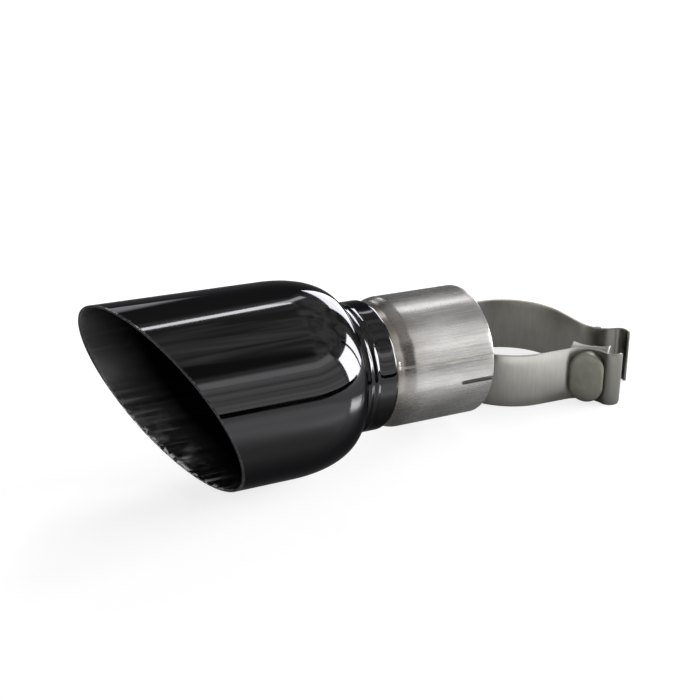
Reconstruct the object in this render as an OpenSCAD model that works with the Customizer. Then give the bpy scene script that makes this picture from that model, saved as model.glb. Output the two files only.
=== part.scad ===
// Slash-cut exhaust tip with a slotted inlet tube, and the band clamp that closes the tube on the pipe.
// The origin is the middle of the tube's inlet end, and +X leads out of the inlet, level with the floor.
// The tip is drawn along X and then leaned, so that it lies on its domed shoulder with the inlet end lower.
// The clamp stands beside it, on the same floor.

/* [Shell] */
// Outside diameter of the straight part of the shell
shell_od = 101.6; // [92:0.1:112]
// Sheet thickness of the shell
shell_wall = 1.2; // [1:0.1:2]
// Length along the axis from the inlet end to the middle of the mouth
tip_length = 175; // [150:0.5:210]
// Angle of the slash cut, away from a square cut
slash_angle = 29.6; // [0:0.1:38]
// Turn of the long side of the slash, away from straight up
slash_roll = 29.5; // [-90:0.5:90]
// Length along the axis of the domed shoulder
dome_length = 34.5; // [22:0.5:42]
// Exponent of the dome's curve, where 2 is an ellipse and more is fuller
dome_fullness = 2.1; // [1.8:0.05:2.8]
// Height of the dome's foot above the neck
foot_height = 2.1; // [1:0.1:4]

/* [Neck] */
// Length of the neck from its edge to the foot of the dome
neck_length = 20.4; // [18:0.5:30]
// Height of the rolled bead above the neck
bead_height = 0.8; // [0.4:0.1:1.2]
// Width of the rolled bead
bead_width = 4.2; // [3:0.1:5]
// Width of the groove between the foot of the dome and the bead
groove_width = 1.8; // [1.5:0.1:4]
// Width of the low shoulder next to the bead
shoulder_width = 3.6; // [2:0.1:4.5]
// Height of the low shoulder above the neck
shoulder_height = 0.45; // [0.2:0.05:0.6]
// Radial play between the neck and the tube inside it
neck_play = 0.05; // [0.02:0.01:0.15]

/* [Inlet tube] */
// Outside diameter of the tube inside the neck
tube_od = 66.5; // [62:0.1:68]
// Wall of the tube
tube_wall = 1.6; // [1.2:0.1:2]
// Outside diameter of the expanded inlet end
inlet_od = 69.85; // [69:0.05:73]
// Length of the tube that shows outside the neck
tube_show = 58.8; // [50:0.1:75]
// Plain length of the tube between the neck's edge and the flare
plain_length = 3.2; // [2.5:0.1:5]
// Length of the flare between the two diameters
flare_length = 8.3; // [5:0.1:8.5]
// Reach of the tube past the foot of the dome, inside the shell
tube_reach = 6; // [2:0.5:20]
// Break of the sharp edges at the inlet end
edge_break = 0.4; // [0.2:0.05:0.6]

/* [Clamp slots] */
// Number of slots round the inlet end
slot_count = 2; // [1:1:6]
// Length of a slot
slot_length = 20; // [12:0.5:30]
// Width of a slot
slot_width = 2.4; // [1.5:0.1:4]
// Turn of the first slot away from straight up, towards -Y
slot_turn = 94; // [60:1:120]

/* [Tack welds] */
// Number of tack welds round the edge of the neck
tack_count = 3; // [2:1:6]
// Length of a tack weld round the tube, as an angle
tack_sweep = 9; // [5:0.5:20]
// Length of a tack weld along the tube
tack_leg = 2.2; // [1.2:0.1:2.4]
// Turn of the first tack weld away from straight up, towards -Y
tack_turn = 69; // [0:1:119]

/* [Clamp band] */
// Width of the band
band_width = 31.75; // [25:0.05:38]
// Thickness of the band
band_thick = 1.5; // [1.2:0.1:2]
// Inside diameter of the ring, as loosened
ring_id = 77; // [74:0.1:82]
// Distance from the middle of the ring to the bolt
bolt_offset = 50; // [49:0.1:56]
// Half of the gap between the ears at the bolt, as loosened
ear_half_gap = 13.9; // [11:0.1:16]
// Radius of the valley pressed into the outside of each ear
valley_r = 16.5; // [14.5:0.1:18]
// Outside radius of the curl at the end of each ear
curl_r = 6; // [4:0.1:7]
// Slope of the ear where the valley runs into the curl
curl_slope = 33.6; // [28:0.1:38]
// Angle that the curl reaches past square to the ear
curl_past = 12; // [0:1:30]
// Radius of the ears' outer corners
ear_corner_r = 4; // [2:0.5:5]

/* [Places] */
// Lean of the tip's axis, with the inlet end lower
tip_lean = 4.3; // [0:0.1:8]
// Distance of the ring's middle from the inlet end, along X
clamp_x = 55.5; // [50:0.1:120]
// Distance of the ring's middle from the tip's axis, along Y
clamp_y = 28; // [20:0.5:90]
// Turn of the ears away from +X
clamp_turn = -48.5; // [-70:0.5:-20]

/* [Clamp fastener] */
// Length of the oval bolt head, along the width of the band
head_length = 30; // [24:0.5:31]
// Width of the oval bolt head and of the bar behind the other ear
head_width = 19.4; // [16:0.1:19.4]
// Height of the head's flat face above the bottom of the valley
head_height = 6.1; // [5:0.1:8]
// Rounding of the head's front edge
head_round = 1.4; // [0.5:0.1:1.8]
// Diameter of the bolt
bolt_d = 9.9; // [7.8:0.1:10]
// Play of the bolt in the holes of the ears, the spacer and the bar, across
hole_play = 0.7; // [0.3:0.1:1.5]
// Play between the pieces that are pressed into each other's curves
seat_play = 0.05; // [0.02:0.01:0.15]
// Length of the spacer block between the ears
spacer_length = 21.5; // [18:0.1:21.5]
// Thickness of the spacer block at its ends
spacer_ends = 9.8; // [7:0.1:10]
// Thickness of the spacer block at its waist
spacer_waist = 3.2; // [2.5:0.1:4]
// Height of the bar's flat back above the bottom of the valley
bar_height = 3.4; // [3:0.1:6]
// Diameter of the washer
washer_d = 20; // [18:0.5:22]
// Thickness of the washer
washer_thick = 2; // [1.5:0.1:2.5]
// Width across the flats of the nut
nut_af = 17; // [15:0.5:18]
// Height of the nut
nut_height = 8.4; // [7:0.1:10]
// Play between the bolt's thread and the nut
thread_play = 0.05; // [0.02:0.01:0.2]
// Length of bolt that stands out of the nut
bolt_out = 4; // [2:0.5:8]

/* [Hidden] */
$fn = 96;
shell_r = shell_od / 2;
tube_r = tube_od / 2;
inlet_r = inlet_od / 2;
neck_bore_r = tube_r + neck_play;
neck_r = neck_bore_r + shell_wall;
neck_edge_x = -tube_show;
dome_end_x = neck_edge_x - neck_length;
dome_start_x = dome_end_x - dome_length;
dome_foot_r = neck_r + foot_height;
dome_steps = 18;
bead_steps = 8;
inlet_length = tube_show - plain_length - flare_length;
mouth_reach = shell_r * tan(slash_angle);
shell_start_x = -tip_length - mouth_reach - shell_wall;
// Fullest point of a tack weld's section, as shares of its two legs
tack_belly = [0.55, 0.75];
cutter_size = 4 * shell_od;
dome_line = dome_points(dome_start_x, dome_length, shell_r, dome_foot_r);
floor_z = min([for (p = dome_line) -p[0] * sin(tip_lean) - p[1] * cos(tip_lean)]);

ring_r = ring_id / 2;
ring_out_r = ring_r + band_thick;
ring_mid_r = ring_r + band_thick / 2;
valley_in_r = valley_r + band_thick;
valley_mid_r = valley_r + band_thick / 2;
curl_in_r = curl_r - band_thick;
valley_v = ear_half_gap + valley_in_r;
valley_c = [bolt_offset, valley_v];
valley_dist = norm(valley_c);
leg_turn = atan2(valley_v, bolt_offset) + acos((ring_mid_r + valley_mid_r) / valley_dist);
leg_dir = [cos(leg_turn), sin(leg_turn)];
curl_c = valley_c + (valley_r + curl_in_r + band_thick) * [sin(curl_slope), -cos(curl_slope)];
ear_end_u = curl_c[0] + curl_r;
cut_reach = 3 * ring_r;
// Largest angle between two points of a bend
bend_angle = 4;
bolt_hole_d = bolt_d + hole_play;
head_face_v = ear_half_gap + band_thick + head_height;
bar_back_v = ear_half_gap + band_thick + bar_height;
washer_back_v = bar_back_v + washer_thick;
nut_back_v = washer_back_v + nut_height;
bolt_end_v = nut_back_v + bolt_out;
bolt_z = band_width / 2;

// Points of the domed shoulder, from the straight shell down to the foot of the dome
function dome_points(start_x, length, top_r, foot_r) = [
    for (i = [0 : dome_steps])
        let (t = 90 * i / dome_steps)
        [start_x + length * pow(sin(t), 2 / dome_fullness),
         foot_r + (top_r - foot_r) * pow(cos(t), 2 / dome_fullness)]
];

// Points over a rounded ridge on the neck
function ridge_points(start_x, width, height, base_r) = [
    for (i = [0 : bead_steps])
        let (t = i / bead_steps)
        [start_x + width * t, base_r + height * sqrt(max(0, 1 - pow(2 * t - 1, 2)))]
];

// The section of the shell sheet, as distance along the axis and radius
function shell_section() = concat(
    [[shell_start_x, shell_r]],
    dome_line,
    [[dome_end_x + groove_width / 3, neck_r + bead_height / 4],
     [dome_end_x + 2 * groove_width / 3, neck_r]],
    ridge_points(dome_end_x + groove_width, bead_width, bead_height, neck_r),
    ridge_points(dome_end_x + groove_width + bead_width, shoulder_width, shoulder_height, neck_r),
    [[neck_edge_x, neck_r], [neck_edge_x, neck_bore_r], [dome_end_x - shell_wall, neck_bore_r]],
    [for (p = [dome_steps : -1 : 0])
        dome_points(dome_start_x, dome_length - shell_wall,
            shell_r - shell_wall, dome_foot_r - shell_wall)[p]],
    [[shell_start_x, shell_r - shell_wall]]
);

// Turns a section drawn along X about the X axis, from straight up towards +Y
module about_x(sweep = 360) {
    rotate([0, -90, 0])
        rotate_extrude(angle = sweep)
            rotate([0, 0, -90])
                children();
}

// Leans a piece of the tip, drawn along X, about the middle of the inlet end
module tip_place() {
    rotate([0, tip_lean, 0])
        children();
}

// One drawn sheet: the slash-cut barrel, the domed shoulder and the beaded neck
module outer_shell() {
    color("#1b1c1e")
        tip_place()
            difference() {
                about_x() polygon(shell_section());
                rotate([-slash_roll, 0, 0])
                    translate([-tip_length, 0, 0])
                        rotate([0, -slash_angle, 0])
                            translate([-cutter_size, -cutter_size / 2, -cutter_size / 2])
                                cube(cutter_size);
            }
}

// The tube's section: the plain end inside the shell, the flare and the expanded inlet
module tube_section() {
    tube_start_x = dome_end_x - tube_reach;
    flare_start_x = -inlet_length - flare_length;
    polygon([
        [tube_start_x, tube_r],
        [flare_start_x, tube_r],
        [-inlet_length, inlet_r],
        [-edge_break, inlet_r],
        [0, inlet_r - edge_break],
        [0, inlet_r - tube_wall],
        [-inlet_length, inlet_r - tube_wall],
        [flare_start_x, tube_r - tube_wall],
        [tube_start_x, tube_r - tube_wall]
    ]);
}

// A slot with a round closed end, cut through one side of the inlet end
module clamp_slot() {
    slot_r = slot_width / 2;
    translate([0, 0, inlet_r - 2 * tube_wall])
        linear_extrude(4 * tube_wall) {
            translate([slot_r - slot_length, 0]) circle(slot_r);
            translate([slot_r - slot_length, -slot_r]) square([slot_length, slot_width]);
        }
}

// Welded stainless tube, expanded and slotted so that the clamp can close it on the pipe
module inlet_tube() {
    color("#a8a7a5")
        tip_place()
            difference() {
                about_x() tube_section();
                for (i = [0 : slot_count - 1])
                    rotate([slot_turn + 360 * i / slot_count, 0, 0])
                        clamp_slot();
            }
}

// Short fillet welds between the edge of the neck and the tube
module tack_welds() {
    color("#8d8a86")
        tip_place()
            for (i = [0 : tack_count - 1])
                rotate([tack_turn + 360 * i / tack_count + tack_sweep / 2, 0, 0])
                    about_x(tack_sweep)
                        polygon([
                            [neck_edge_x, tube_r],
                            [neck_edge_x, neck_r],
                            [neck_edge_x + tack_belly[0] * tack_leg, tube_r + tack_belly[1] * (neck_r - tube_r)],
                            [neck_edge_x + tack_leg, tube_r]
                        ]);
}

// Puts a clamp piece, drawn with the ears along +X and its lower edge at z = 0, where it stands
module clamp_place() {
    translate([clamp_x, clamp_y, floor_z])
        rotate([0, 0, clamp_turn])
            children();
}

// Points along a bend, from one angle to another, leaving out the first few
function bend(centre, radius, from, to, skip = 0) =
    let (steps = ceil(abs(to - from) / bend_angle))
        [for (i = [skip : steps])
            let (a = from + (to - from) * i / steps)
                centre + radius * [cos(a), sin(a)]];

// One face of the strip, from the end of an ear to the far side of the ring:
// the curl, the pressed valley, the straight leg and half of the ring
function half_face(curl_face_r, valley_face_r, ring_face_r) = concat(
    bend(curl_c, curl_face_r, -curl_past, 90 + curl_slope),
    bend(valley_c, valley_face_r, 270 + curl_slope, 180 + leg_turn, 1),
    bend([0, 0], ring_face_r, leg_turn, 180)
);

// The same face carried on round the ring to the end of the other ear
function whole_face(half) = concat(
    half,
    [for (i = [len(half) - 2 : -1 : 0]) [half[i][0], -half[i][1]]]
);

function reversed(points) = [for (i = [len(points) - 1 : -1 : 0]) points[i]];

// Cuts a round corner off the end of an ear
module ear_corner() {
    translate([ear_end_u - ear_corner_r, -cut_reach, ear_corner_r])
        rotate([-90, 0, 0])
            linear_extrude(2 * cut_reach)
                difference() {
                    square(2 * ear_corner_r);
                    circle(ear_corner_r);
                }
}

// Runs along the bolt's axis, across the ears
module across_ears(from_v, to_v) {
    translate([bolt_offset, from_v, bolt_z])
        rotate([-90, 0, 0])
            linear_extrude(to_v - from_v)
                children();
}

// One strip of stainless bent into a ring with two ears
module clamp_band() {
    color("#84817b")
        clamp_place()
            difference() {
                linear_extrude(band_width)
                    polygon(concat(
                        whole_face(half_face(curl_r, valley_r, ring_out_r)),
                        reversed(whole_face(half_face(curl_in_r, valley_in_r, ring_r)))
                    ));
                ear_corner();
                translate([0, 0, band_width]) mirror([0, 0, 1]) ear_corner();
                across_ears(-cut_reach, cut_reach) circle(d = bolt_hole_d);
            }
}

// Block with two hollow sides that keeps the ears apart and square when the bolt is tight
module clamp_spacer() {
    hollow_r = valley_in_r + seat_play;
    front_v = -ear_half_gap + seat_play;
    middle_v = front_v + spacer_waist / 2;
    color("#aaa39c")
        clamp_place()
            difference() {
                linear_extrude(band_width)
                    difference() {
                        translate([bolt_offset - spacer_length / 2, middle_v - spacer_ends / 2])
                            square([spacer_length, spacer_ends]);
                        translate([bolt_offset, front_v - hollow_r]) circle(hollow_r);
                        translate([bolt_offset, front_v + spacer_waist + hollow_r]) circle(hollow_r);
                    }
                across_ears(-cut_reach, cut_reach) circle(d = bolt_hole_d);
            }
}

// Outline of the oval head, with its long way along the width of the band
module oval(length, width) {
    for (side = [-1, 1])
        translate([0, side * (length - width) / 2]) circle(d = width);
    square([width, length - width], center = true);
}

// Fills a valley of an ear: a bar whose back is round and whose face is flat
module valley_filler(side, face_v) {
    intersection() {
        translate([bolt_offset, side * valley_v, 0])
            cylinder(h = band_width, r = valley_r - seat_play);
        if (side < 0)
            across_ears(-face_v, 0) oval(head_length, head_width);
        else
            across_ears(0, face_v) oval(head_length, head_width);
    }
}

// Bolt with an oval head that lies in the front ear's valley and can't turn there
module clamp_bolt() {
    round_v = head_face_v - head_round;
    color("#6f6e68")
        clamp_place() {
            valley_filler(-1, round_v);
            hull()
                for (step = [0 : 3]) {
                    a = 90 * step / 3;
                    across_ears(-round_v - head_round * sin(a), -round_v)
                        oval(head_length - 2 * head_round * (1 - cos(a)),
                            head_width - 2 * head_round * (1 - cos(a)), $fn = 32);
                }
            across_ears(-head_face_v + head_round, bolt_end_v) circle(d = bolt_d);
        }
}

// Half-round bar that spreads the nut's load over the back ear's valley
module clamp_bar() {
    color("#7c7973")
        clamp_place()
            difference() {
                valley_filler(1, bar_back_v);
                across_ears(0, cut_reach) circle(d = bolt_hole_d);
            }
}

// Plain washer on the flat back of the bar
module clamp_washer() {
    color("#a6a5a1")
        clamp_place()
            across_ears(bar_back_v, washer_back_v)
                difference() {
                    circle(d = washer_d);
                    circle(d = bolt_hole_d);
                }
}

// Hexagon nut on the washer
module clamp_nut() {
    color("#a6a5a1")
        clamp_place()
            across_ears(washer_back_v, nut_back_v)
                difference() {
                    circle(d = nut_af / cos(30), $fn = 6);
                    circle(d = bolt_d + 2 * thread_play);
                }
}

outer_shell();
inlet_tube();
tack_welds();
clamp_band();
clamp_spacer();
clamp_bolt();
clamp_bar();
clamp_washer();
clamp_nut();
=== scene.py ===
"""A slash-cut exhaust tip in black chrome with a slotted steel inlet tube, and its band clamp beside it.
Sizes are in millimetres, as on a drawing, and meshes are made in metres."""

import math
from math import cos, radians, sin, tan

import bmesh
import bpy
from mathutils import Matrix, Vector


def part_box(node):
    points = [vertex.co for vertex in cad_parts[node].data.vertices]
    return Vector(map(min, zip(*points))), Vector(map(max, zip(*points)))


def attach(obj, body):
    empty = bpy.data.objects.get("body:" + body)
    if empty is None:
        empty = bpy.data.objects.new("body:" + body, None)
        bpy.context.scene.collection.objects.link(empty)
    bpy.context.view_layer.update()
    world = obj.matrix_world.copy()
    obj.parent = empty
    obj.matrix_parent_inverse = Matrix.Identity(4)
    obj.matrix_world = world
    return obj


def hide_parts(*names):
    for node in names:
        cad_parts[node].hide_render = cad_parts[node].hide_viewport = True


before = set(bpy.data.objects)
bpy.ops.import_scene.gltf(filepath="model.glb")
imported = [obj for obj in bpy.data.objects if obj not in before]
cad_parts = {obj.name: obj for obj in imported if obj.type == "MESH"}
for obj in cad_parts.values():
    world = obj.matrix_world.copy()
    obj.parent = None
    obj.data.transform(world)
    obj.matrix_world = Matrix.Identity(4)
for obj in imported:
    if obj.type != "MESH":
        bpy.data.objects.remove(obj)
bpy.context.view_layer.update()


# Shell
# One sheet of stainless, drawn into a straight barrel with a domed shoulder and a beaded neck.
# The barrel is cut at a slant for the mouth, and the cut edge is rounded over. The whole shell is
# polished and plated in black chrome, and it is tacked to the inlet tube at the edge of its neck.

MM = 0.001
TIP_LEAN = radians(4.3)
TIP_LENGTH = 175.0
SLASH = radians(29.6)
SLASH_ROLL = radians(29.5)
SHELL_R = 50.79
SHELL_AROUND = 288
SHEET = 1.2
LIP_ROUND = 0.5
NECK_R = 34.5
NECK_BORE_R = 33.3
NECK_EDGE_X = -58.8
BEAD_FULLNESS = 1.3
DOME_FOOT_X = -79.2
DOME_FOOT_R = 36.6
DOME_LENGTH = 34.5
DOME_FULLNESS = 2.1
DOME_START_X = DOME_FOOT_X - DOME_LENGTH


def tip_point(x, r, turn):
    """A point at x along the tip and r from its axis, turned from straight up to -Y, with the tip leaned."""
    y, z = -r * sin(turn), r * cos(turn)
    return Vector((x * cos(TIP_LEAN) + z * sin(TIP_LEAN), y, z * cos(TIP_LEAN) - x * sin(TIP_LEAN))) * MM


def mouth_x(r, turn):
    """Where the slant cut crosses the line of the barrel at r and turn."""
    return -TIP_LENGTH - r * cos(turn + SLASH_ROLL) * tan(SLASH)


def dome_curve(length, top_r, foot_r, steps):
    """The domed shoulder as x and r, from the barrel down to its foot."""
    return [(DOME_START_X + length * sin(t) ** (2 / DOME_FULLNESS),
             foot_r + (top_r - foot_r) * max(cos(t), 0) ** (2 / DOME_FULLNESS))
            for t in (radians(90) * i / steps for i in range(steps + 1))]


def ridge_curve(start_x, width, height, steps):
    """A bead of the neck: almost straight flanks and a round top."""
    return [(start_x + width * t, NECK_R + height * (1 - abs(2 * t - 1) ** BEAD_FULLNESS))
            for t in (i / steps for i in range(1, steps))]


def turned_rows(rows, around):
    """Points of a turned shape. A row is a place along the tip, or a rule that gives it, and a radius."""
    turns = [2 * math.pi * i / around for i in range(around)]
    return [tip_point(x(r, turn) if callable(x) else x, r, turn) for x, r in rows for turn in turns]


def ring_faces(rows, around, closed):
    """Faces between rows of points, each row a loop. Closed joins the last row to the first."""
    faces = []
    for row in range(rows if closed else rows - 1):
        here, after = row * around, (row + 1) % rows * around
        for i in range(around):
            j = (i + 1) % around
            faces.append((here + i, here + j, after + j, after + i))
    return faces


def solid(name, points, faces):
    """A closed mesh object at the origin, with its faces turned outwards."""
    mesh = bpy.data.meshes.new(name)
    mesh.from_pydata(points, [], faces)
    bm = bmesh.new()
    bm.from_mesh(mesh)
    bmesh.ops.remove_doubles(bm, verts=bm.verts, dist=1e-6)
    bmesh.ops.recalc_face_normals(bm, faces=bm.faces)
    bm.to_mesh(mesh)
    bm.free()
    piece = bpy.data.objects.new(name, mesh)
    bpy.context.scene.collection.objects.link(piece)
    return piece


def smooth(piece, crease):
    """Smooth shading that breaks where faces meet at more than the crease, in degrees."""
    piece.data.shade_smooth()
    piece.data.set_sharp_from_angle(angle=radians(crease))


def paint(hex_colour):
    """An sRGB hex colour as the linear value that a socket takes."""
    parts = [int(hex_colour[i:i + 2], 16) / 255 for i in (1, 3, 5)]
    return [p / 12.92 if p <= 0.04045 else ((p + 0.055) / 1.055) ** 2.4 for p in parts] + [1]


def feed(tree, node, inputs):
    """Fills a node's inputs: another node or one of its sockets is linked, and any other value is set."""
    for name, value in inputs.items():
        if isinstance(value, bpy.types.Node):
            value = next(output for output in value.outputs if output.enabled)
        if isinstance(value, bpy.types.NodeSocket):
            tree.links.new(value, node.inputs[name])
        else:
            node.inputs[name].default_value = value


def add_node(tree, kind, inputs=None, **settings):
    """Adds a node with its settings, and fills its inputs."""
    node = tree.nodes.new(kind)
    for name, value in settings.items():
        setattr(node, name, value)
    feed(tree, node, inputs or {})
    return node


def new_finish(name, metallic=1.0):
    """A material with only its surface shader, and the node tree to build its pattern in."""
    finish = bpy.data.materials.new(name)
    finish.use_nodes = True
    tree = finish.node_tree
    shader = next(n for n in tree.nodes if n.type == "BSDF_PRINCIPLED")
    shader.inputs["Metallic"].default_value = metallic
    return finish, tree, shader


def along_tip(tree, lengthwise=1, crosswise=1):
    """Places in the tip's own frame, x along it, in so many grains of the pattern to the metre."""
    place = add_node(tree, "ShaderNodeTexCoord").outputs["Object"]
    level = add_node(tree, "ShaderNodeMapping", {"Vector": place, "Rotation": (0, -TIP_LEAN, 0)})
    grains = (lengthwise, crosswise, crosswise)
    return add_node(tree, "ShaderNodeVectorMath", {0: level, 1: grains}, operation="MULTIPLY")


# From the barrel to the neck's edge, outside: the dome, the hollow at its foot, a large and a small
# bead, and the plain neck, whose edge is crimped a little.
outside = dome_curve(DOME_LENGTH, SHELL_R, DOME_FOOT_R, 44)
outside += [(DOME_FOOT_X + dx, r) for dx, r in
            ((0.05, 36.1), (0.2, 35.45), (0.55, 34.9), (1.0, 34.62), (1.5, 34.52))]
outside += ridge_curve(DOME_FOOT_X + 1.8, width=4.2, height=0.8, steps=16)
outside += ridge_curve(DOME_FOOT_X + 6.0, width=3.6, height=0.45, steps=14)
outside += [(DOME_FOOT_X + dx, NECK_R) for dx in (9.9, 12.0, 17.0)]
outside += [(NECK_EDGE_X + dx, NECK_R + dr) for dx, dr in
            ((-1.5, 0), (-1.3, -0.03), (-1.1, -0.09), (-0.4, -0.36), (-0.2, -0.47), (-0.05, -0.65), (0, -0.8))]

# Back inside to the mouth, where every row follows the slant cut, and round the lip.
inside = [(NECK_EDGE_X, NECK_BORE_R + 0.2), (NECK_EDGE_X - 0.2, NECK_BORE_R), (-70, NECK_BORE_R),
          (DOME_FOOT_X - SHEET, NECK_BORE_R)]
inside += dome_curve(DOME_LENGTH - SHEET, SHELL_R - SHEET, DOME_FOOT_R - SHEET, 30)[::-1]
barrel = []
for share in (0.15, 0.4, 0.65, 0.85, 0.96, 0.99):
    barrel.append(lambda r, turn, s=share: DOME_START_X + s * (mouth_x(r, turn) + LIP_ROUND - DOME_START_X))
inside += [(rule, SHELL_R - SHEET) for rule in barrel]
lip = []
for angle in (radians(d) for d in range(0, 181, 15)):
    rounding = LIP_ROUND * (1 - sin(angle))
    lip.append((lambda r, turn, back=rounding: mouth_x(r, turn) + back,
                SHELL_R - SHEET / 2 - SHEET / 2 * cos(angle)))
shell_rows = outside + inside + lip + [(rule, SHELL_R) for rule in barrel[::-1]]
shell = solid("shell", turned_rows(shell_rows, SHELL_AROUND),
              ring_faces(len(shell_rows), SHELL_AROUND, True))
smooth(shell, crease=60)
row_finishes = [0] * len(outside) + [1] * len(inside) + [2] * len(lip) + [0] * len(barrel)
for face in shell.data.polygons:
    face.material_index = row_finishes[face.index // SHELL_AROUND]

# The Mix node's sockets: its factor and its two colours
SHARE, FROM, TO = 0, 6, 7

# Black chrome over polished stainless: almost a mirror, but it gives back only a few hundredths of
# the light. Hand polishing leaves faint waves, 8 cm long and 2 cm wide, and a thin haze of wiped
# marks 1 cm wide.
black_chrome, tree, shader = new_finish("black chrome plate")
haze = add_node(tree, "ShaderNodeTexNoise", {"Vector": along_tip(tree, 30, 90), "Scale": 1.0, "Detail": 6.0})
wiped = add_node(tree, "ShaderNodeMapRange", {"Value": haze, "From Min": 0.35, "From Max": 0.75,
                                              "To Min": 0.03, "To Max": 0.09})
waves = add_node(tree, "ShaderNodeTexNoise", {"Vector": along_tip(tree, 12, 60), "Scale": 1.0, "Detail": 1.0})
polish = add_node(tree, "ShaderNodeBump", {"Height": waves, "Strength": 0.25, "Distance": 0.1 * MM})
feed(tree, shader, {"Base Color": paint("#323233"), "Specular Tint": paint("#bcbcbe"),
                    "Roughness": wiped, "Normal": polish})
shell.data.materials.append(black_chrome)

# Inside, the sheet is plated but not polished: a dull black that still shows the lengthwise streaks
# of the drawing die, most of all near the mouth. They are drawn coarser than real, 2.4 mm apart.
plated_inside, tree, shader = new_finish("black plate over the drawn inside")
marks = add_node(tree, "ShaderNodeTexNoise", {"Vector": along_tip(tree, 18, 420), "Scale": 1.0, "Detail": 2.0})
dull = add_node(tree, "ShaderNodeMapRange", {"Value": marks, "From Min": 0.3, "From Max": 0.7,
                                             "To Min": 0.3, "To Max": 0.46})
drawn = add_node(tree, "ShaderNodeBump", {"Height": marks, "Strength": 0.3, "Distance": 0.2 * MM})

# It is painted darker over 30 mm from the slant cut inwards, its reflections too: painted shade deeper in the
# shell.
on_tip = along_tip(tree)
cut_slope = (1, sin(SLASH_ROLL) * tan(SLASH), cos(SLASH_ROLL) * tan(SLASH))
unslanted = add_node(tree, "ShaderNodeVectorMath", {0: on_tip, 1: cut_slope}, operation="DOT_PRODUCT")
depth = add_node(tree, "ShaderNodeMath", {0: unslanted, 1: TIP_LENGTH * MM}, operation="ADD")
deeper = add_node(tree, "ShaderNodeMapRange", {"Value": depth, "From Min": 0.0, "From Max": 30 * MM})
plating_and_painted_shade = add_node(tree, "ShaderNodeMix", {SHARE: deeper, FROM: paint("#6a6a6c"), TO: paint("#0b0b0c")},
                   data_type="RGBA")
grazing_and_painted_shade = add_node(tree, "ShaderNodeMix", {SHARE: deeper, FROM: paint("#bcbcbe"), TO: paint("#1c1c1c")},
                   data_type="RGBA")

# On its low side, within 20 mm of the lip, pale marks along the streaks and blots 6 to 11 mm wide
# are painted highlights of the light caught on the low wall.
across = add_node(tree, "ShaderNodeSeparateXYZ", {0: on_tip})
at_lip = add_node(tree, "ShaderNodeMapRange", {"Value": depth, "From Max": 20 * MM,
                                               "To Min": 1.0, "To Max": 0.0})
low_side = add_node(tree, "ShaderNodeMapRange", {"Value": across.outputs["Z"], "From Min": -38 * MM,
                                                 "From Max": -15 * MM, "To Min": 1.0, "To Max": 0.06})
at_bottom = add_node(tree, "ShaderNodeMapRange", {"Value": across.outputs["Z"], "From Min": -40 * MM,
                                                  "From Max": -20 * MM, "To Min": 1.0, "To Max": 0.0})
streak_glints = add_node(tree, "ShaderNodeMapRange", {"Value": marks, "From Min": 0.56, "From Max": 0.7})
streak_glints = add_node(tree, "ShaderNodeMath", {0: streak_glints, 1: low_side}, operation="MULTIPLY")
blots = add_node(tree, "ShaderNodeTexNoise", {"Vector": along_tip(tree, 90, 170), "Scale": 1.0, "Detail": 4.0})
blot_glints = add_node(tree, "ShaderNodeMapRange", {"Value": blots, "From Min": 0.45, "From Max": 0.7,
                                                "To Max": 0.9})
blot_glints = add_node(tree, "ShaderNodeMath", {0: blot_glints, 1: at_bottom}, operation="MULTIPLY")
painted_glints = add_node(tree, "ShaderNodeMath", {0: streak_glints, 1: blot_glints}, operation="MAXIMUM")
painted_glints = add_node(tree, "ShaderNodeMath", {0: at_lip, 1: painted_glints}, operation="MULTIPLY")

# Right at the lip, flakes 3 mm wide on the low side are painted pale and matt: painted highlights on the rim.
at_rim = add_node(tree, "ShaderNodeMapRange", {"Value": depth, "From Min": 1.6 * MM, "From Max": 4 * MM,
                                               "To Min": 1.0, "To Max": 0.0})
flakes = add_node(tree, "ShaderNodeTexNoise", {"Vector": along_tip(tree, 350, 350), "Scale": 1.0,
                                               "Detail": 3.0})
flake_glints = add_node(tree, "ShaderNodeMapRange", {"Value": flakes, "From Min": 0.48, "From Max": 0.54})
flake_glints = add_node(tree, "ShaderNodeMath", {0: at_rim, 1: flake_glints}, operation="MULTIPLY")
flake_glints = add_node(tree, "ShaderNodeMath", {0: flake_glints, 1: low_side}, operation="MULTIPLY")
painted_glints = add_node(tree, "ShaderNodeMath", {0: painted_glints, 1: flake_glints}, operation="MAXIMUM")
# Where the painted highlights are, the surface is painted near white and not metallic.
plated = add_node(tree, "ShaderNodeMapRange", {"Value": painted_glints, "From Min": 0.3, "To Min": 1.0, "To Max": 0.0})
tones = add_node(tree, "ShaderNodeMix", {SHARE: painted_glints, FROM: plating_and_painted_shade, TO: paint("#f4f4f6")}, data_type="RGBA")
feed(tree, shader, {"Base Color": tones, "Metallic": plated, "Specular Tint": grazing_and_painted_shade,
                    "Roughness": dull, "Normal": drawn})
shell.data.materials.append(plated_inside)

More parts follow.
